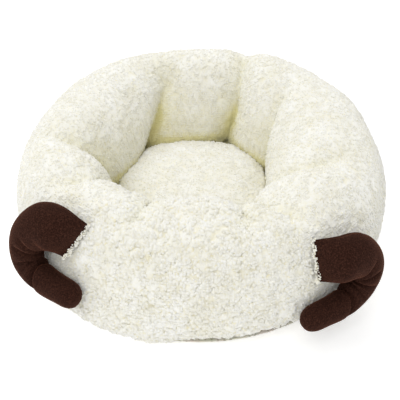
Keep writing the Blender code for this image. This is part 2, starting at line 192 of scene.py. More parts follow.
def select_only(piece):
    bpy.ops.object.select_all(action="DESELECT")
    piece.select_set(True)
    bpy.context.view_layer.objects.active = piece


def apply_modifier(piece, kind, **settings):
    """Adds a modifier with these settings and applies it at once."""
    select_only(piece)
    modifier = piece.modifiers.new(kind.lower(), kind)
    for name, value in settings.items():
        setattr(modifier, name, value)
    bpy.ops.object.modifier_apply(modifier=modifier.name)


def places_of(piece):
    """The piece's points as rows of x, y and z."""
    places = np.empty(len(piece.data.vertices) * 3, np.float32)
    piece.data.vertices.foreach_get("co", places)
    return places.reshape(-1, 3).astype(float)


def move_to(piece, places):
    piece.data.vertices.foreach_set("co", places.astype(np.float32).ravel())
    piece.data.update()


def rest_on(piece, level):
    """Flattens the piece where it would sink below what it stands on."""
    places = places_of(piece)
    places[:, 2] = np.maximum(places[:, 2], level)
    move_to(piece, places)


def normals_of(piece):
    normals = np.empty(len(piece.data.vertices) * 3, np.float32)
    piece.data.vertices.foreach_get("normal", normals)
    return normals.reshape(-1, 3).astype(float)


def keep_value(piece, name, values):
    """Stores one number for each point, for the finish to read."""
    attribute = piece.data.attributes.get(name) or piece.data.attributes.new(name, "FLOAT", "POINT")
    attribute.data.foreach_set("value", values.astype(np.float32))


def ease(values):
    values = np.clip(values, 0.0, 1.0)
    return values * values * (3.0 - 2.0 * values)


def short_pile(name, light, dark):
    finish, nodes, links, shader, place = new_finish(name)
    shader.inputs["Roughness"].default_value = 0.92
    shader.inputs["Sheen Weight"].default_value = 0.25
    mottle = noise_pattern(nodes, links, place, 0.012, 5.0)
    shade = colour_ramp(nodes, links, mottle.outputs["Fac"], (0.35, dark), (0.62, light))
    links.new(shade.outputs["Color"], shader.inputs["Base Color"])
    nap = noise_pattern(nodes, links, place, 0.0016, 3.0)
    raise_bumps(nodes, links, shader, nap.outputs["Fac"], 0.0009, 0.8)
    return finish


def make_well_floor():
    pad_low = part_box("base_padding")[0]
    lining_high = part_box("floor_lining")[1]
    middle = (pad_low + lining_high) / 2.0
    half = (lining_high - pad_low) / 2.0
    bpy.ops.mesh.primitive_cylinder_add(vertices=96, radius=1.0, depth=2.0, location=middle)
    pad = bpy.context.object
    pad.name = "well_floor_pad"
    pad.scale = half
    bpy.ops.object.transform_apply(location=True, rotation=False, scale=True)
    bpy.ops.object.mode_set(mode="EDIT")
    bpy.ops.mesh.select_all(action="SELECT")
    bpy.ops.mesh.bevel(offset=FLOOR_EDGE_ROUND, segments=3)
    bpy.ops.object.mode_set(mode="OBJECT")
    for level in (lining_high.z, pad_low.z):
        for face in pad.data.polygons:
            face.select = len(face.vertices) > 8 and abs(face.center.z - level) < 1e-4
        bpy.ops.object.mode_set(mode="EDIT")
        bpy.ops.mesh.select_mode(type="FACE")
        step = min(half.x, half.y) / (FLOOR_RINGS + 1.5)
        for _ in range(FLOOR_RINGS):
            bpy.ops.mesh.inset(thickness=step, use_even_offset=False)
        bpy.ops.object.mode_set(mode="OBJECT")
    places = places_of(pad)
    across = (places[:, 0] - middle.x) / half.x
    along = (places[:, 1] - middle.y) / half.y
    inside = ease((1.0 - np.hypot(across, along)) / 0.4)
    top = places[:, 2] > middle.z
    quilting = np.minimum(
        np.abs(np.sin((places[:, 0] + places[:, 1]) / QUILT_PITCH * math.pi)),
        np.abs(np.sin((places[:, 0] - places[:, 1]) / QUILT_PITCH * math.pi)),
    )
    groove = QUILT_GROOVE * np.exp(-((quilting / 0.3) ** 2))
    places[:, 2] -= np.where(top, inside * (FLOOR_DISH + groove), 0.0)
    move_to(pad, places)
    pad.data.shade_smooth()
    pad.data.materials.append(short_pile("lining_pile", (0.90, 0.88, 0.80), (0.84, 0.81, 0.71)))
    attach(pad, "bed")
    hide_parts("base_padding", "floor_lining")


make_well_floor()


# ---------------------------------------------------------------- stuffed ring
# The wall of the bed is one tube of curly fleece packed with polyester fibre. Stitches draw it
# in at ten places over the crest and down the inner wall, so it swells into soft lobes between
# them; the front, between the horns, is a separate panel with a nubbier curl.

RING_RADIUS = (cad_high.x - cad_low.x) / 2.0
RING_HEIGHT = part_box("bolster_back_cover")[1].z
RING_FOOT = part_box("bolster_back_cover")[0].z
WIDEST_HEIGHT = 0.062
CROWN_ROUNDNESS = 2.2
FOOT_ROUNDNESS = 3.0
WELL_HALF_WIDTH = 0.108
WELL_HALF_DEPTH = 0.127
WELL_SIDE_SHIFT = -0.0046
WELL_BACK_SHIFT = 0.0214
PILE_ROOM = 0.003
SECTION_REACH = 0.078
FRONT_SEAMS = (math.radians(-127.2), math.radians(-55.8))

# Each draw-in: its line, as degrees round the ring and degrees up and over the tube, then how
# deep it pulls and how wide the hollow beside it is.
DRAW_INS = (
    (((113, 66), (110, 100), (107, 125), (113, 160), (120, 190), (121, 215)), 0.031, 0.048),
    (((97, 92), (102, 110), (107, 130)), 0.010, 0.022),
    (((72, 44), (71, 80), (70, 115), (71, 150), (75, 190), (76, 215)), 0.031, 0.042),
    (((43, 88), (40, 110), (38, 140), (37, 170), (36, 205)), 0.015, 0.040),
    (((-8, 56), (-14, 77), (-21, 90), (-28, 105), (-33, 125), (-33, 175)), 0.019, 0.048),
    (((-49, 44), (-55, 76), (-60, 92), (-62, 150)), 0.018, 0.040),
    (((-77, 62), (-71, 88), (-69, 150)), 0.020, 0.038),
    (((-113, 62), (-114, 90), (-115, 150)), 0.020, 0.038),
    (((-149, 52), (-149, 78), (-149, 93), (-150, 115), (-156, 150)), 0.023, 0.042),
    (((179, 56), (-178, 90), (-178, 112), (178, 135), (172, 185)), 0.028, 0.050),
)
# Where the tube as a whole sags, or bulges past a true round where the depth is negative.
SLUMPS = (
    (((-158, 110), (-172, 150), (176, 200)), 0.015, 0.090),
    (((-130, 100), (-129, 150)), 0.012, 0.045),
    (((-100, 95), (-60, 95)), 0.007, 0.060),
    (((-50, 100), (-56, 150)), 0.010, 0.050),
    (((30, 50), (66, 66)), -0.0085, 0.090),
    (((118, 60), (140, 50)), -0.004, 0.085),
    (((-22, 20), (18, 30)), -0.005, 0.090),
    (((-138, -45), (-108, -50)), -0.015, 0.075),
)
LOBE_SWELL = 0.008
TUBE_CENTRE = 0.18
TUBE_SIZE = 0.06
STITCH_REACH = 0.006
FULL_HOLLOW = 0.026
STITCHED_HEIGHT = 0.012
FRONT_FADE = 0.12


def well_radius(azimuth):
    """Distance from the ring's axis to the edge of the oval, off-centre well."""
    along_x, along_y = np.cos(azimuth), np.sin(azimuth)
    square = (along_x / WELL_HALF_WIDTH) ** 2 + (along_y / WELL_HALF_DEPTH) ** 2
    cross = along_x * WELL_SIDE_SHIFT / WELL_HALF_WIDTH ** 2
    cross = cross + along_y * WELL_BACK_SHIFT / WELL_HALF_DEPTH ** 2
    rest = (WELL_SIDE_SHIFT / WELL_HALF_WIDTH) ** 2 + (WELL_BACK_SHIFT / WELL_HALF_DEPTH) ** 2 - 1.0
    return (cross + np.sqrt(cross ** 2 - square * rest)) / square


def ring_place(azimuth, angle, room=0.0):
    """Points of the ring's cloth, this far under its full size: angle 0 is outermost."""
    azimuth, angle = np.broadcast_arrays(np.asarray(azimuth, float), np.asarray(angle, float))
    inner = well_radius(azimuth)
    middle = (RING_RADIUS + inner) / 2.0
    half_width = (RING_RADIUS - inner) / 2.0 - room
    rise = np.sin(angle)
    roundness = np.where(rise >= 0.0, CROWN_ROUNDNESS, FOOT_ROUNDNESS)
    reach = np.where(rise >= 0.0, RING_HEIGHT - WIDEST_HEIGHT - room, WIDEST_HEIGHT - RING_FOOT)
    turn = np.cos(angle)
    radius = middle + half_width * np.sign(turn) * np.abs(turn) ** (2.0 / roundness)
    height = WIDEST_HEIGHT + reach * np.sign(rise) * np.abs(rise) ** (2.0 / roundness)
    return np.stack([radius * np.cos(azimuth), radius * np.sin(azimuth), height], axis=-1)


def turn_between(first, second):
    """The smaller angle from one direction to another, with its sign."""
    return (first - second + math.pi) % math.tau - math.pi


def nearness_to(azimuth, angle, radius, line, width):
    """How near each point is to one line of stitches, and how hard they pull beside it."""
    nearest = np.full(len(azimuth), 9.0)
    place_along = np.zeros(len(azimuth))
    count = len(line) - 1
    for k, (here, there) in enumerate(zip(line, line[1:])):
        start = np.radians(here)
        step_round = turn_between(math.radians(there[0]), start[0])
        step_over = math.radians(there[1]) - start[1]
        across = turn_between(azimuth, start[0]) * radius
        over = (angle - start[1]) * SECTION_REACH
        run_x = step_round * radius
        run_y = step_over * SECTION_REACH
        share = np.clip((across * run_x + over * run_y) / (run_x ** 2 + run_y ** 2), 0.0, 1.0)
        distance = np.hypot(across - share * run_x, over - share * run_y)
        closer = distance < nearest
        nearest = np.where(closer, distance, nearest)
        place_along = np.where(closer, (k + share) / count, place_along)
    strength = ease(place_along / 0.35)
    return strength, np.clip(1.0 - nearest / width, 0.0, 1.0), nearest


def stuff_with_fibre(piece, pressure, most, held="", frames=20):
    """Swells a sewn cover with its filling's push; the held group stays where it is stitched."""
    before = places_of(piece)
    select_only(piece)
    cloth = piece.modifiers.new("filling push", "CLOTH")
    cloth.settings.quality = 4
    cloth.settings.mass = 0.3
    cloth.settings.tension_stiffness = 12.0
    cloth.settings.compression_stiffness = 12.0
    cloth.settings.bending_stiffness = 0.4
    cloth.settings.use_pressure = True
    cloth.settings.uniform_pressure_force = pressure
    cloth.settings.effector_weights.gravity = 0.0
    cloth.settings.vertex_group_mass = held
    cloth.collision_settings.use_self_collision = False
    cloth.point_cache.frame_start = 1
    cloth.point_cache.frame_end = frames
    for moment in range(1, frames + 1):
        bpy.context.scene.frame_set(moment)
    bpy.ops.object.modifier_apply(modifier=cloth.name)
    bpy.context.scene.frame_set(1)
    moved = places_of(piece) - before
    length = np.linalg.norm(moved, axis=1, keepdims=True)
    move_to(piece, before + moved * np.minimum(1.0, most / np.maximum(length, 1e-9)))


def hold(piece, name, weights):
    group = piece.vertex_groups.new(name=name)
    for index in np.nonzero(weights > 0.01)[0]:
        group.add([int(index)], float(weights[index]), "REPLACE")


def displacing_texture(name, kind, size, **settings):
    texture = bpy.data.textures.new(name, kind)
    texture.noise_scale = size
    for setting, value in settings.items():
        setattr(texture, setting, value)
    return texture


def fluff_up(piece, texture, height, group=""):
    """Stands the fleece's clumps out of its cloth."""
    apply_modifier(
        piece, "DISPLACE", texture=texture, strength=height, mid_level=0.5,
        texture_coords="LOCAL", vertex_group=group,
    )


CURL_SIDES = 5
CURL_RADIUS = 0.0017
CURL_STEP = 0.0010
CURL_BEND = math.radians(46.0)
CURL_NARROWING = (1.1, 0.9, 0.72)
CURL_ROOT_SUNK = 0.0011
CURL_PITCH = 0.0042
CURL_SOFTNESS = 0.45
CURL_LEAN = 0.28
CURL_FOOT = 0.0035
FLOOR_CLEARANCE = 0.0003
RING_CURL_HEIGHT = 0.0016
COVER_HEIGHT = 0.35

clump_texture = displacing_texture("fleece clumps", "CLOUDS", 0.012, noise_depth=2)
curl_texture = displacing_texture(
    "fleece curls", "VORONOI", 0.0075, distance_metric="DISTANCE_SQUARED", noise_intensity=1.4
)
wool_texture = displacing_texture("fleece wool", "CLOUDS", 0.004, noise_depth=3)


def make_ring():
    bpy.ops.mesh.primitive_torus_add(
        major_segments=140, minor_segments=44, major_radius=TUBE_CENTRE, minor_radius=TUBE_SIZE
    )
    ring = bpy.context.object
    ring.name = "stuffed_ring"
    places = places_of(ring)
    azimuth = np.arctan2(places[:, 1], places[:, 0])
    angle = np.arctan2(places[:, 2], np.hypot(places[:, 0], places[:, 1]) - TUBE_CENTRE)
    angle = np.where(angle < -math.pi / 2.0, angle + math.tau, angle)
    move_to(ring, ring_place(azimuth, angle, PILE_ROOM))
    keep_value(ring, "around", azimuth)
    keep_value(ring, "over", angle)
    apply_modifier(ring, "SUBSURF", levels=1, render_levels=1)
    places = places_of(ring)
    azimuth = np.arctan2(places[:, 1], places[:, 0])
    radius = np.hypot(places[:, 0], places[:, 1])
    middle = (RING_RADIUS + well_radius(azimuth)) / 2.0
    angle = np.arctan2((places[:, 2] - WIDEST_HEIGHT) * 0.75, radius - middle)
    angle = np.where(angle < -math.pi / 2.0, angle + math.tau, angle)
    depth = np.zeros(len(places))
    stitched = np.zeros(len(places))
    for line, deepest, width in DRAW_INS:
        strength, closeness, nearest = nearness_to(azimuth, angle, radius, line, width)
        between_two_rolls = 1.0 - np.sqrt(1.0 - 0.98 * closeness ** 2)
        sunk = deepest * strength * (0.6 * closeness ** 2 + 0.4 * between_two_rolls)
        depth = np.maximum(depth, sunk) + 0.3 * np.minimum(depth, sunk)
        stitched = np.maximum(stitched, np.clip(1.0 - nearest / STITCH_REACH, 0.0, 1.0))
    # The hollow value is painted shade: it grows with how deep the draw-ins pull and down the inner
    # wall of the well, and the finish tints it olive yellow.
    down_the_well = ease((angle - math.radians(120.0)) / math.radians(50.0))
    hollow = np.clip(depth / FULL_HOLLOW, 0.0, 1.0) ** 1.3
    hollow = np.maximum(hollow, down_the_well * ease((0.075 - places[:, 2]) / 0.035))
    hollow *= 0.5 + 0.5 * down_the_well
    keep_value(ring, "hollow", np.clip(hollow + 0.3 * down_the_well, 0.0, 1.0))
    for line, deepest, width in SLUMPS:
        depth += deepest * ease(nearness_to(azimuth, angle, radius, line, width)[1])
    over_the_crest = ease((angle - math.radians(50.0)) / math.radians(60.0))
    depth -= LOBE_SWELL * over_the_crest * ease((math.radians(235.0) - angle) / math.radians(40.0))
    move_to(ring, places - normals_of(ring) * depth[:, None])
    stitched = np.where(places[:, 2] < STITCHED_HEIGHT, 1.0, stitched)
    hold(ring, "stitched", stitched)
    stuff_with_fibre(ring, 4.0, 0.009, "stitched")
    apply_modifier(ring, "SUBSURF", levels=1, render_levels=1)
    rest_on(ring, RING_FOOT)
    places = places_of(ring)
    azimuth = np.arctan2(places[:, 1], places[:, 0])
    left = turn_between(azimuth, FRONT_SEAMS[0])
    right = turn_between(azimuth, FRONT_SEAMS[1])
    front = ease(left / FRONT_FADE + 0.5) * ease(-right / FRONT_FADE + 0.5)
    front *= places[:, 1] < 0.0
    hold(ring, "front_panel", front)
    return ring


ring = make_ring()
places = places_of(ring)
smooth_ring = BVHTree.FromPolygons(
    [Vector(p) for p in places], [tuple(f.vertices) for f in ring.data.polygons]
)


def curly_fleece(name, light, shade, shadow):
    """Cream sherpa: white tips over yellower roots that stand for painted shade deep in the pile, a
    painted yellow shade in its creases and hollows, and a soft fuzz.
    """
    finish, nodes, links, shader, place = new_finish(name)
    shader.inputs["Roughness"].default_value = 1.0
    shader.inputs["Diffuse Roughness"].default_value = 1.0
    shader.inputs["Specular IOR Level"].default_value = 0.1
    shader.inputs["Sheen Weight"].default_value = 0.5
    shader.inputs["Sheen Roughness"].default_value = 0.5
    # Painted shade deep in the pile: low points, the curls' roots and the cover between them, take
    # the yellower shade and shadow colours, and the high tips take the light one.
    depth = nodes.new("ShaderNodeAttribute")
    depth.attribute_name = "pile_height"
    tips = colour_ramp(
        nodes, links, depth.outputs["Fac"], (0.06, shadow), (0.40, shade), (0.75, light)
    )
    mottle = noise_pattern(nodes, links, place, 0.03, 3.0)
    patches = colour_ramp(
        nodes, links, mottle.outputs["Fac"], (0.3, (0.955, 0.945, 0.90)), (0.7, (1.0, 1.0, 1.0))
    )
    tinted = multiply_colours(nodes, links, tips.outputs["Color"], patches.outputs["Color"])
    # Painted shade in the creases, the hollows and down the well: the hollow value tints the cream
    # towards olive yellow.
    inside = nodes.new("ShaderNodeAttribute")
    inside.attribute_name = "hollow"
    hollow_shade_tint = colour_ramp(
        nodes, links, inside.outputs["Fac"], (0.0, (1.0, 1.0, 1.0)), (0.5, (1.0, 0.996, 0.95)),
        (0.8, (0.99, 0.972, 0.83)), (1.0, (0.93, 0.895, 0.58)),
    )
    creamy = multiply_colours(nodes, links, tinted.outputs["Result"], hollow_shade_tint.outputs["Color"])
    wool = noise_pattern(nodes, links, place, 0.0024, 4.0)
    strands = colour_ramp(
        nodes, links, wool.outputs["Fac"], (0.40, (0.94, 0.925, 0.82)), (0.56, (1.0, 1.0, 1.0))
    )
    strands_and_speck_shade = multiply_colours(nodes, links, creamy.outputs["Result"], strands.outputs["Color"])
    # Painted shade between the curls: the fine yellow strand specks count for more in the hollows
    # than on the crests.
    hollow_speck_shade = colour_ramp(
        nodes, links, inside.outputs["Fac"], (0.0, (0.35, 0.35, 0.35)), (0.8, (0.9, 0.9, 0.9))
    )
    links.new(hollow_speck_shade.outputs["Color"], strands_and_speck_shade.inputs["Factor"])
    links.new(strands_and_speck_shade.outputs["Result"], shader.inputs["Base Color"])
    raise_bumps(nodes, links, shader, wool.outputs["Fac"], 0.0007, 0.7)
    return finish


# The shade and shadow colours are painted shade: yellower cream for the low points of the pile,
# where less light reaches.
fleece = curly_fleece(
    "curly_fleece", (0.970, 0.968, 0.948), (0.960, 0.946, 0.872), (0.945, 0.90, 0.69)
)


def model_curl():
    """One curl of wool: a little comma, drawn up from its root and bent over to a tip."""
    bpy.ops.object.select_all(action="DESELECT")
    bpy.ops.mesh.primitive_circle_add(vertices=CURL_SIDES, radius=CURL_RADIUS)
    curl = bpy.context.object
    bpy.ops.object.mode_set(mode="EDIT")
    bpy.ops.mesh.select_mode(type="VERT")
    bpy.ops.mesh.select_all(action="SELECT")
    heading = Vector((0.0, 0.0, 1.0))
    middle = Vector((0.0, 0.0, 0.0))
    for narrowing in CURL_NARROWING:
        bpy.ops.mesh.extrude_region_move(TRANSFORM_OT_translate={"value": heading * CURL_STEP})
        middle = middle + heading * CURL_STEP
        bpy.ops.transform.resize(value=(narrowing,) * 3, center_override=middle)
        bpy.ops.transform.rotate(value=-CURL_BEND, orient_axis="Y", center_override=middle)
        heading = Vector((
            heading.x * math.cos(CURL_BEND) + heading.z * math.sin(CURL_BEND),
            0.0,
            heading.z * math.cos(CURL_BEND) - heading.x * math.sin(CURL_BEND),
        ))
    bpy.ops.mesh.merge(type="CENTER")
    bpy.ops.mesh.select_all(action="SELECT")
    bpy.ops.mesh.normals_make_consistent(inside=False)
    bpy.ops.object.mode_set(mode="OBJECT")
    return curl


def lay_curls(name, cover, chosen, pitch, seed, size=1.0):
    """Covers the chosen faces with copies of the curl, every way round and no two alike."""
    mesh = cover.data
    count = len(mesh.polygons)
    centres = np.empty(count * 3, np.float32)
    mesh.polygons.foreach_get("center", centres)
    facing = np.empty(count * 3, np.float32)
    mesh.polygons.foreach_get("normal", facing)
    areas = np.empty(count, np.float32)
    mesh.polygons.foreach_get("area", areas)
    centres = centres.reshape(-1, 3).astype(float)
    facing = facing.reshape(-1, 3).astype(float)
    random = np.random.default_rng(seed)
    picked = chosen(centres) & (random.random(count) < areas / pitch ** 2)
    roots = centres[picked]
    hollow = np.empty(len(mesh.vertices), np.float32)
    mesh.attributes["hollow"].data.foreach_get("value", hollow)
    corner = np.array([mesh.polygons[k].vertices[0] for k in np.nonzero(picked)[0]])
    up = facing[picked] + random.normal(0.0, CURL_LEAN, (len(roots), 3))
    up /= np.linalg.norm(up, axis=1, keepdims=True)
    lie = random.normal(0.0, 1.0, (len(roots), 3))
    lie -= up * (lie * up).sum(axis=1, keepdims=True)
    lie /= np.linalg.norm(lie, axis=1, keepdims=True)
    beside = np.cross(up, lie)
    grown = size * random.uniform(0.75, 1.3, (len(roots), 1, 1))
    model = model_curl()
    shape = places_of(model)
    corners = [tuple(face.vertices) for face in model.data.polygons]
    bpy.data.objects.remove(model)
    spread = (
        lie[:, None, :] * shape[None, :, 0:1]
        + beside[:, None, :] * shape[None, :, 1:2]
        + up[:, None, :] * (shape[None, :, 2:3] - CURL_ROOT_SUNK)
    )
    places = (roots[:, None, :] + spread * grown).reshape(-1, 3)
    places[:, 2] = np.maximum(places[:, 2], FLOOR_CLEARANCE)
    faces = []
    for k in range(len(roots)):
        first = k * len(shape)
        faces += [tuple(first + corner for corner in face) for face in corners]
    curls_mesh = bpy.data.meshes.new(name)
    curls_mesh.from_pydata(places.tolist(), [], faces)
    curls_mesh.shade_smooth()
    own = np.empty(len(places) * 3, np.float32)
    curls_mesh.vertices.foreach_get("normal", own)
    soft = own.reshape(-1, 3) * (1.0 - CURL_SOFTNESS)
    soft += np.repeat(facing[picked], len(shape), axis=0) * CURL_SOFTNESS
    soft /= np.maximum(np.linalg.norm(soft, axis=1, keepdims=True), 1e-6)
    curls_mesh.normals_split_custom_set_from_vertices(soft.tolist())
    curls = bpy.data.objects.new(name, curls_mesh)
    bpy.context.scene.collection.objects.link(curls)
    # Each curl's root takes a low pile_height, which the finish paints in the yellower shade
    # colour, and each curl takes the painted hollow shade of the cloth under it.
    reach = np.clip(shape[:, 2] / shape[:, 2].max(), 0.0, 1.0)
    tone = random.uniform(-0.06, 0.06, (len(roots), 1))
    keep_value(curls, "pile_height", np.clip(reach[None, :] + tone, 0.0, 1.0).ravel())
    keep_value(curls, "hollow", np.repeat(hollow[corner], len(shape)))
    return curls


def note_pile_height(piece, before, counted=slice(None)):
    """Stores how high each point now stands, between the lowest and highest counted ones."""
    rise = ((places_of(piece) - before) * normals_of(piece)).sum(axis=1)
    low, high = np.percentile(rise[counted], (3.0, 97.0))
    share = np.clip((rise - low) / (high - low), 0.0, 1.0)
    # The finish paints the low points in shade; the cover starts at COVER_HEIGHT, so its low points
    # are shaded less than the curls' roots.
    keep_value(piece, "pile_height", COVER_HEIGHT + (1.0 - COVER_HEIGHT) * share)


def grow_fleece(piece, curl_height, front=""):
    """Stands clumps and curls out of the cloth and notes how high each point stands."""
    before = places_of(piece)
    fluff_up(piece, clump_texture, curl_height * 1.4)
    fluff_up(piece, curl_texture, -curl_height)
    if front:
        fluff_up(piece, curl_texture, -curl_height * 1.1, front)
        fluff_up(piece, clump_texture, curl_height * 2.4, front)
    fluff_up(piece, wool_texture, curl_height * 0.6)
    note_pile_height(piece, before)


grow_fleece(ring, RING_CURL_HEIGHT, "front_panel")
rest_on(ring, RING_FOOT)
ring.data.shade_smooth()
ring.data.materials.clear()
ring.data.materials.append(fleece)
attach(ring, "bed")
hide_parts("bolster_filling", "bolster_front_cover", "bolster_back_cover")
for number, (name, first, last, pitch, size) in enumerate((
    ("front_curls", -127.2, -55.8, 0.0046, 1.35),
    ("right_curls", -55.8, 25.0, 0.0042, 0.9),
    ("back_right_curls", 25.0, 95.0, 0.0042, 0.9),
    ("back_left_curls", 95.0, 165.0, 0.0042, 0.9),
    ("left_curls", 165.0, 232.8, 0.0042, 0.9),
)):
    def in_this_part(centres, first=math.radians(first), last=math.radians(last)):
        swing = (np.arctan2(centres[:, 1], centres[:, 0]) - first) % math.tau
        return (swing < last - first) & (centres[:, 2] > CURL_FOOT)

    curls = lay_curls(name, ring, in_this_part, pitch, 11 + number, size)
    curls.data.materials.append(fleece)
    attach(curls, "bed")


# ---------------------------------------------------------------- cushion
# The loose cushion is two ovals of cloth sewn face to face and stuffed: curly fleece above and
# smooth cloth below, with a slot left in the lower one for its zip.

CUSHION_LOW, CUSHION_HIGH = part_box("cushion_bottom_cover")[0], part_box("cushion_top_cover")[1]
ZIP_LOW, ZIP_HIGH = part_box("zip_tape_left")[0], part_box("zip_tape_right")[1]
CUSHION_SPREAD = 0.010
CUSHION_SQUARENESS = 2.6
CUSHION_CROWN = 3.0
CUSHION_FLATNESS = 4.0
ZIP_SLOT_ROOM = 0.0012
ZIP_SLOT_DEPTH = 0.0052
NEIGHBOUR_REACH = 0.06
CUSHION_GAP = 0.001
CUSHION_VOXEL = 0.005
UNDERSIDE_EDGE = 0.006
TOP_CURLS_ABOVE = 0.012


def keep_clear(piece, other, gap):
    """Presses the piece's points out of the neighbour they lie against."""
    places = places_of(piece)
    for index, place in enumerate(places):
        point = Vector(place)
        nearest, normal, _, _ = other.find_nearest(point, NEIGHBOUR_REACH)
        if nearest is None:
            continue
        depth = (point - nearest).dot(normal)
        if depth < gap:
            places[index] = point + normal * (gap - depth)
    move_to(piece, places)


def make_cushion():
    low = CUSHION_LOW - Vector((CUSHION_SPREAD, 0.0, 0.0))
    middle = (low + CUSHION_HIGH) / 2.0
    half = (CUSHION_HIGH - low) / 2.0
    bpy.ops.mesh.primitive_uv_sphere_add(segments=96, ring_count=48, radius=1.0)
    cushion = bpy.context.object
    cushion.name = "well_cushion"
    places = places_of(cushion)
    level = np.clip(places[:, 2], -1.0, 1.0)
    turn = np.arctan2(places[:, 1], places[:, 0])
    crown = np.where(level >= 0.0, CUSHION_CROWN, CUSHION_FLATNESS)
    out = np.maximum(0.0, 1.0 - level ** 2) ** (1.0 / crown)
    square = 2.0 / CUSHION_SQUARENESS
    across = np.sign(np.cos(turn)) * np.abs(np.cos(turn)) ** square
    along = np.sign(np.sin(turn)) * np.abs(np.sin(turn)) ** square
    places[:, 0] = middle.x + half.x * out * across
    places[:, 1] = middle.y + half.y * out * along
    places[:, 2] = middle.z + half.z * np.sign(level) * np.abs(level) ** (2.0 / crown)
    move_to(cushion, places)
    apply_modifier(cushion, "REMESH", mode="VOXEL", voxel_size=CUSHION_VOXEL)
    stuff_with_fibre(cushion, 3.0, 0.006)
    rest_on(cushion, CUSHION_LOW.z)
    keep_clear(cushion, smooth_ring, CUSHION_GAP)
    slot_low = Vector((ZIP_LOW.x, ZIP_LOW.y, CUSHION_LOW.z - ZIP_SLOT_DEPTH))
    slot_high = Vector((ZIP_HIGH.x, ZIP_HIGH.y, CUSHION_LOW.z + ZIP_SLOT_DEPTH))
    bpy.ops.mesh.primitive_cube_add(size=1.0, location=(slot_low + slot_high) / 2.0)
    slot = bpy.context.object
    slot.scale = slot_high - slot_low + Vector((ZIP_SLOT_ROOM, ZIP_SLOT_ROOM, 0.0))
    bpy.ops.object.transform_apply(location=True, rotation=False, scale=True)
    apply_modifier(cushion, "BOOLEAN", operation="DIFFERENCE", solver="EXACT", object=slot)
    bpy.data.objects.remove(slot)
    return cushion


cushion = make_cushion()
underside = short_pile("cushion_underside", (0.90, 0.88, 0.81), (0.86, 0.83, 0.74))
apply_modifier(cushion, "SUBSURF", levels=1, render_levels=1, subdivision_type="SIMPLE")
places = places_of(cushion)
top_side = ease((places[:, 2] - CUSHION_LOW.z - 0.008) / 0.008)
hold(cushion, "top_side", top_side)
before_curls = places_of(cushion)
fluff_up(cushion, clump_texture, 0.0026, "top_side")
fluff_up(cushion, curl_texture, -0.0014, "top_side")
fluff_up(cushion, wool_texture, 0.0010, "top_side")
note_pile_height(cushion, before_curls, top_side > 0.5)
# Painted shade: the hollow value, and with it the yellow tint, grows down the cushion's sides
# towards the gap by the ring.
keep_value(cushion, "hollow", 0.6 * ease((CUSHION_HIGH.z - 0.006 - before_curls[:, 2]) / 0.012))
cushion.data.shade_smooth()
cushion.data.materials.clear()
cushion.data.materials.append(fleece)
cushion.data.materials.append(underside)
for face in cushion.data.polygons:
    if face.center.z < CUSHION_LOW.z + UNDERSIDE_EDGE:
        face.material_index = 1
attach(cushion, "cushion")
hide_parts("cushion_top_cover", "cushion_bottom_cover", "cushion_filling")


def on_cushion_top(centres):
    return centres[:, 2] > CUSHION_LOW.z + TOP_CURLS_ABOVE


cushion_curls = lay_curls("cushion_curls", cushion, on_cushion_top, CURL_PITCH, 31, 0.85)
cushion_curls.data.materials.append(fleece)
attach(cushion_curls, "cushion")


# ---------------------------------------------------------------- zip
# A nylon zip closes the cushion: two woven tapes, a coil sewn along the edge of each, a metal
# stop at both ends and a metal slider.

COIL_PITCH = 0.0012


def zip_tape_cloth():
    finish, nodes, links, shader, place = new_finish("zip_tape")
    shader.inputs["Roughness"].default_value = 0.88
    weave = weave_pattern(nodes, links, place, 0.0006)
    shade = colour_ramp(
        nodes, links, weave.outputs["Value"], (0.3, (0.76, 0.73, 0.64)), (0.8, (0.88, 0.85, 0.77))
    )
    links.new(shade.outputs["Color"], shader.inputs["Base Color"])
    raise_bumps(nodes, links, shader, weave.outputs["Value"], 0.00015, 0.8)
    return finish


def zip_coil_nylon():
    finish, nodes, links, shader, place = new_finish("zip_nylon")
    shader.inputs["Roughness"].default_value = 0.42
    turns = nodes.new("ShaderNodeTexWave")
    turns.bands_direction = "Y"
    turns.inputs["Scale"].default_value = 1.0 / COIL_PITCH / math.tau
    links.new(place.outputs["Object"], turns.inputs["Vector"])
    shade = colour_ramp(
        nodes, links, turns.outputs["Fac"], (0.2, (0.66, 0.63, 0.55)), (0.7, (0.88, 0.86, 0.80))
    )
    links.new(shade.outputs["Color"], shader.inputs["Base Color"])
    raise_bumps(nodes, links, shader, turns.outputs["Fac"], 0.0004, 1.0)
    return finish


def zip_metal():
    finish, nodes, links, shader, place = new_finish("zip_metal")
    shader.inputs["Metallic"].default_value = 1.0
    wear = noise_pattern(nodes, links, place, 0.003, 6.0)
    shade = colour_ramp(
        nodes, links, wear.outputs["Fac"], (0.4, (0.50, 0.50, 0.48)), (0.6, (0.70, 0.70, 0.68))
    )
    links.new(shade.outputs["Color"], shader.inputs["Base Color"])
    rough = colour_ramp(
        nodes, links, wear.outputs["Fac"], (0.3, (0.28, 0.28, 0.28)), (0.7, (0.48, 0.48, 0.48))
    )
    links.new(rough.outputs["Color"], shader.inputs["Roughness"])
    raise_bumps(nodes, links, shader, wear.outputs["Fac"], 0.00005, 0.5)
    return finish


tape_finish = zip_tape_cloth()
coil_finish = zip_coil_nylon()
metal_finish = zip_metal()
for side in ("left", "right"):
    refinish(f"zip_tape_{side}", tape_finish)
    refinish(f"zip_coil_{side}", coil_finish)
for metal_node in ("zip_stop_front", "zip_stop_back", "zip_slider"):
    refinish(metal_node, metal_finish)


# ---------------------------------------------------------------- horns
# Each ram's horn is two curved panels of short chocolate fleece sewn round their edge and
# stuffed. Its flat open root is caught in the ring's cover, and a dart gathers the inside of
# its bend, from which creases fan out.

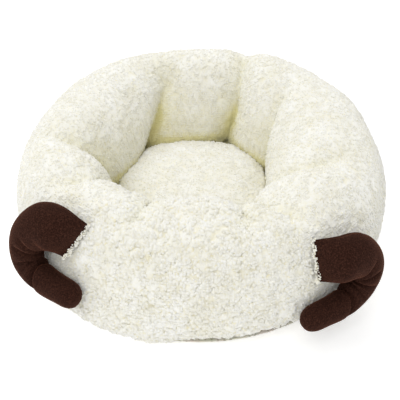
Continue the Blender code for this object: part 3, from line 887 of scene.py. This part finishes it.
HORN_SEAM_GAP = 0.0009
HORN_GAP = 0.0003
ROOT_HALF_WIDTH = 0.0282
ROOT_HALF_THICKNESS = 0.0028
ROOT_SWELL = 0.16
BEND_HALF_WIDTH = 0.0292
BEND_HALF_THICKNESS = 0.0235
TIP_HALF_WIDTH = 0.0185
TIP_HALF_THICKNESS = 0.016
TIP_ROUNDING = 0.10
TIP_BLUNTNESS = 0.15
LEFT_ROUTE = (
    (0.0015, -0.0015), (0.0225, 0.0035), (0.046, -0.0015), (0.063, -0.022),
    (0.0600, -0.0485), (0.034, -0.0595), (0.005, -0.0605), (-0.022, -0.0615),
)
RIGHT_ROUTE = (
    (0.0, 0.0), (0.021, -0.0015), (0.047, -0.0085), (0.0625, -0.029),
    (0.056, -0.0535), (0.030, -0.067), (0.001, -0.068), (-0.030, -0.069),
)
HORN_SEAM_DEPTH = 0.0011
FRINGE_REACH = 0.0026
FRINGE_RAGGED = 0.0010
FRINGE_PITCH = 0.0021
HORN_RINGS = 128
COVER_PROUD = 0.0007
# Each crease: its share of the horn's length, its depth, its width as a share of the length,
# how far it slants towards the tip as it crosses to the outside of the bend, and how far across
# the horn it fades out, from 0 at the outer edge to 1 at the inner.
LEFT_CREASES = (
    (0.40, 0.0035, 0.018, -0.05, 0.45), (0.47, 0.0050, 0.016, -0.02, 0.40),
    (0.545, 0.0045, 0.015, 0.02, 0.35), (0.668, 0.0085, 0.013, 0.04, 0.05),
    (0.61, 0.0030, 0.012, 0.03, 0.40),
)
RIGHT_CREASES = (
    (0.37, 0.0035, 0.018, -0.06, 0.30), (0.45, 0.0055, 0.016, -0.03, 0.35),
    (0.53, 0.0055, 0.015, 0.02, 0.25), (0.675, 0.0080, 0.013, 0.07, 0.10),
    (0.61, 0.0032, 0.012, 0.05, 0.40),
)
LEFT_ROOT = (FRONT_SEAMS[0], RING_HEIGHT - 0.033)
RIGHT_ROOT = (FRONT_SEAMS[1], RING_HEIGHT - 0.0517)


def route_place(route, share):
    """The smooth curve through the route's points, at a share of its length."""
    points = [Vector(point) for point in route]
    place = share * (len(points) - 1)
    start = min(int(place), len(points) - 2)
    part = place - start
    before = points[max(start - 1, 0)]
    here = points[start]
    there = points[start + 1]
    after = points[min(start + 2, len(points) - 1)]
    return (
        here
        + (there - before) * (0.5 * part)
        + (before - here * 2.5 + there * 2.0 - after * 0.5) * part ** 2
        + (after - before + (here - there) * 3.0) * (0.5 * part ** 3)
    )


def horn_half_sizes(share):
    swell = float(ease(share / ROOT_SWELL))
    along = float(ease((share - ROOT_SWELL) / (1.0 - ROOT_SWELL)))
    width = ROOT_HALF_WIDTH + (BEND_HALF_WIDTH - ROOT_HALF_WIDTH) * swell
    width += (TIP_HALF_WIDTH - BEND_HALF_WIDTH) * along
    thickness = ROOT_HALF_THICKNESS + (BEND_HALF_THICKNESS - ROOT_HALF_THICKNESS) * swell
    thickness += (TIP_HALF_THICKNESS - BEND_HALF_THICKNESS) * along
    return width, thickness


def angle_at_height(height):
    """How far over the tube its outer side has this height."""
    if height >= WIDEST_HEIGHT:
        share = (height - WIDEST_HEIGHT) / (RING_HEIGHT - WIDEST_HEIGHT)
        return math.asin(share ** (CROWN_ROUNDNESS / 2.0))
    share = (WIDEST_HEIGHT - height) / (WIDEST_HEIGHT - RING_FOOT)
    return -math.asin(share ** (FOOT_ROUNDNESS / 2.0))


def horn_centre(route, root, side, share):
    """A point of the horn's centre line and the ring's outward direction beside it."""
    run, rise = route_place(route, share)
    azimuth = root[0] + side * run / (RING_RADIUS + COVER_PROUD)
    angle = angle_at_height(root[1] + rise)
    here = Vector(ring_place(azimuth, angle))
    round_the_ring = Vector(ring_place(azimuth + 0.001, angle)) - here
    round_the_tube = Vector(ring_place(azimuth, angle + 0.001)) - here
    outward = round_the_ring.cross(round_the_tube).normalized()
    return here + outward * (horn_half_sizes(share)[1] + HORN_SEAM_GAP + HORN_GAP), outward


def horn_section(route, root, side, share):
    """Centre, width direction and thickness direction of the horn's section."""
    behind = horn_centre(route, root, side, max(0.0, share - 0.01))[0]
    ahead = horn_centre(route, root, side, min(1.0, share + 0.01))[0]
    centre, outward = horn_centre(route, root, side, share)
    along = (ahead - behind).normalized()
    across = outward.cross(along).normalized()
    return centre, across, along.cross(across).normalized()


def make_horn(name, route, root, side, creases):
    bpy.ops.mesh.primitive_uv_sphere_add(segments=56, ring_count=HORN_RINGS, radius=1.0)
    horn = bpy.context.object
    horn.name = name
    places = places_of(horn)
    share = np.arccos(np.clip(-places[:, 2], -1.0, 1.0)) / math.pi
    turn = np.arctan2(places[:, 1], places[:, 0])
    ring_step = 1.0 / HORN_RINGS
    length_share = np.clip((share - ring_step) / (1.0 - 2.0 * ring_step), 0.0, 1.0)
    sections = {}
    for index in range(len(places)):
        level = round(float(length_share[index]), 5)
        if level not in sections:
            sections[level] = (horn_section(route, root, side, level), horn_half_sizes(level))
        (centre, across, outward), (width, thickness) = sections[level]
        rounding = min(1.0, (1.0 - level) / TIP_ROUNDING)
        narrowing = math.sqrt(max(TIP_BLUNTNESS, 1.0 - (1.0 - rounding) ** 2))
        if min(share[index], 1.0 - share[index]) < ring_step / 2.0:
            places[index] = centre
            continue
        wide = across * (width * narrowing * math.cos(turn[index]))
        thick = outward * (thickness * narrowing * math.sin(turn[index]))
        places[index] = centre + wide + thick
    move_to(horn, places)
    inner_side = 0.5 + 0.5 * np.cos(turn) * -side
    sunk = np.zeros(len(places))
    for crease_share, depth, width, lean, faded in creases:
        off = length_share - crease_share - lean * (1.0 - inner_side)
        sunk += depth * ease((inner_side - faded) / 0.35) * np.exp(-np.abs(off / width) ** 1.4)
    beside_seam = np.abs(np.sin(turn))
    sunk += HORN_SEAM_DEPTH * np.exp(-((beside_seam / 0.05) ** 2))
    sunk -= HORN_SEAM_DEPTH * 0.7 * np.exp(-(((beside_seam - 0.14) / 0.06) ** 2))
    sunk *= ease((1.0 - length_share) / 0.05) * ease(length_share / 0.05)
    move_to(horn, places - normals_of(horn) * sunk[:, None])
    hold(horn, "stitched", np.where(length_share < 0.03, 1.0, 0.0))
    stuff_with_fibre(horn, 3.0, 0.003, "stitched")
    apply_modifier(horn, "SUBSURF", levels=1, render_levels=1)
    return horn


def lay_root_fringe(name, route, root, side, seed):
    """Curls of the ring's fleece that spill over the horn's sewn-in end."""
    centre, across, outward = horn_section(route, root, side, 0.0)
    along = horn_section(route, root, side, 0.02)[0] - centre
    along.normalize()
    bpy.ops.object.select_all(action="DESELECT")
    bpy.ops.mesh.primitive_grid_add(x_subdivisions=90, y_subdivisions=8, size=2.0)
    strip = bpy.context.object
    places = places_of(strip)
    across_share, along_share = places[:, 0].copy(), places[:, 1].copy()
    random = np.random.default_rng(seed)
    for index in range(len(places)):
        ragged = FRINGE_RAGGED * math.sin(across_share[index] * 11.0 + 2.0 * side)
        over = FRINGE_REACH * (along_share[index] - 0.35) + ragged
        height = ROOT_HALF_THICKNESS * (1.0 - 0.9 * ease(-along_share[index] * 1.4))
        height -= 0.9 * ROOT_HALF_THICKNESS * across_share[index] ** 6
        places[index] = (
            centre + across * (ROOT_HALF_WIDTH * 1.06 * across_share[index])
            + along * (over + random.normal(0.0, 0.0003)) + outward * height
        )
    move_to(strip, places)
    if normals_of(strip)[len(places) // 2].dot(np.array(outward)) < 0.0:
        strip.data.flip_normals()
    keep_value(strip, "hollow", np.zeros(len(places)))
    curls = lay_curls(name, strip, lambda centres: centres[:, 2] > 0.0, FRINGE_PITCH, seed, 0.6)
    bpy.data.objects.remove(strip)
    return curls


def brown_fleece():
    """Chocolate short-nap fleece: mottled, with a reddish bloom where it turns away."""
    finish, nodes, links, shader, place = new_finish("horn_fleece")
    shader.inputs["Roughness"].default_value = 0.9
    shader.inputs["Specular IOR Level"].default_value = 0.06
    shader.inputs["Sheen Weight"].default_value = 0.24
    shader.inputs["Sheen Roughness"].default_value = 0.3
    shader.inputs["Sheen Tint"].default_value = (0.80, 0.28, 0.15, 1.0)
    mottle = noise_pattern(nodes, links, place, 0.0018, 8.0)
    shade = colour_ramp(
        nodes, links, mottle.outputs["Fac"], (0.34, (0.018, 0.0066, 0.0042)),
        (0.52, (0.034, 0.0125, 0.0080)), (0.70, (0.060, 0.0240, 0.0155)),
    )
    links.new(shade.outputs["Color"], shader.inputs["Base Color"])
    nap = noise_pattern(nodes, links, place, 0.0011, 3.0)
    raise_bumps(nodes, links, shader, nap.outputs["Fac"], 0.0007, 0.8)
    return finish


horn_finish = brown_fleece()
for name, route, root, side, creases in (
    ("left_horn", LEFT_ROUTE, LEFT_ROOT, -1.0, LEFT_CREASES),
    ("right_horn", RIGHT_ROUTE, RIGHT_ROOT, 1.0, RIGHT_CREASES),
):
    horn = make_horn(f"{name}_stuffed", route, root, side, creases)
    horn.data.shade_smooth()
    horn.data.materials.append(horn_finish)
    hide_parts(f"{name}_outer_panel", f"{name}_inner_panel", f"{name}_filling")
    start = horn_section(route, root, side, 0.04)[0]
    end = horn_section(route, root, side, 0.26)[0]
    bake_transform(horn)
    fringe = lay_root_fringe(f"{name}_root_curls", route, root, side, 51 if side < 0.0 else 52)
    fringe.data.materials.append(fleece)
    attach(fringe, "bed")


# ---------------------------------------------------------------- floor, light and camera
# The bed stands on a plain white studio floor, under even light from all round and two large
# softboxes: one overhead towards the back and one high in front, beside the camera.

bpy.ops.mesh.primitive_plane_add(size=40.0, location=(0.0, 0.0, -0.0002))
floor = bpy.context.object
floor.name = "studio_floor"
floor_finish, nodes, links, shader, place = new_finish("studio_floor")
shader.inputs["Base Color"].default_value = (0.85, 0.85, 0.85, 1.0)
shader.inputs["Roughness"].default_value = 0.9
shader.inputs["Emission Color"].default_value = (1.0, 1.0, 1.0, 1.0)
shader.inputs["Emission Strength"].default_value = 0.42
floor.data.materials.append(floor_finish)

world = bpy.data.worlds.new("soft_studio")
world.use_nodes = True
world.node_tree.nodes["Background"].inputs["Color"].default_value = (1.0, 1.0, 1.0, 1.0)
world.node_tree.nodes["Background"].inputs["Strength"].default_value = 0.655
bpy.context.scene.world = world


def add_softbox(name, place, aim, size, watts):
    light = bpy.data.lights.new(name, "AREA")
    light.shape = "SQUARE"
    light.size = size
    light.energy = watts
    lamp = bpy.data.objects.new(name, light)
    bpy.context.scene.collection.objects.link(lamp)
    lamp.location = place
    lamp.rotation_euler = (Vector(aim) - Vector(place)).to_track_quat("-Z", "Y").to_euler()


add_softbox("overhead_softbox", (-0.3, 0.5, 1.6), (0.0, 0.0, 0.05), 1.4, 8.0)
add_softbox("front_softbox", (-0.5, -1.25, 1.7), (0.0, 0.1, 0.08), 1.2, 9.5)

CAMERA_LENS = 82.35
CAMERA_PLACE = (0.0034, -1.0248, 0.8678)
CAMERA_DOWN = 38.85
CAMERA_TURN = 0.16

camera_data = bpy.data.cameras.new("camera")
camera_data.lens = CAMERA_LENS
camera_data.sensor_width = 36.0
camera_data.clip_start = 0.05
camera = bpy.data.objects.new("camera", camera_data)
camera.location = CAMERA_PLACE
camera.rotation_euler = (math.radians(90.0 - CAMERA_DOWN), 0.0, math.radians(CAMERA_TURN))
bpy.context.scene.collection.objects.link(camera)
bpy.context.scene.camera = camera
bpy.context.scene.view_settings.view_transform = "Standard"
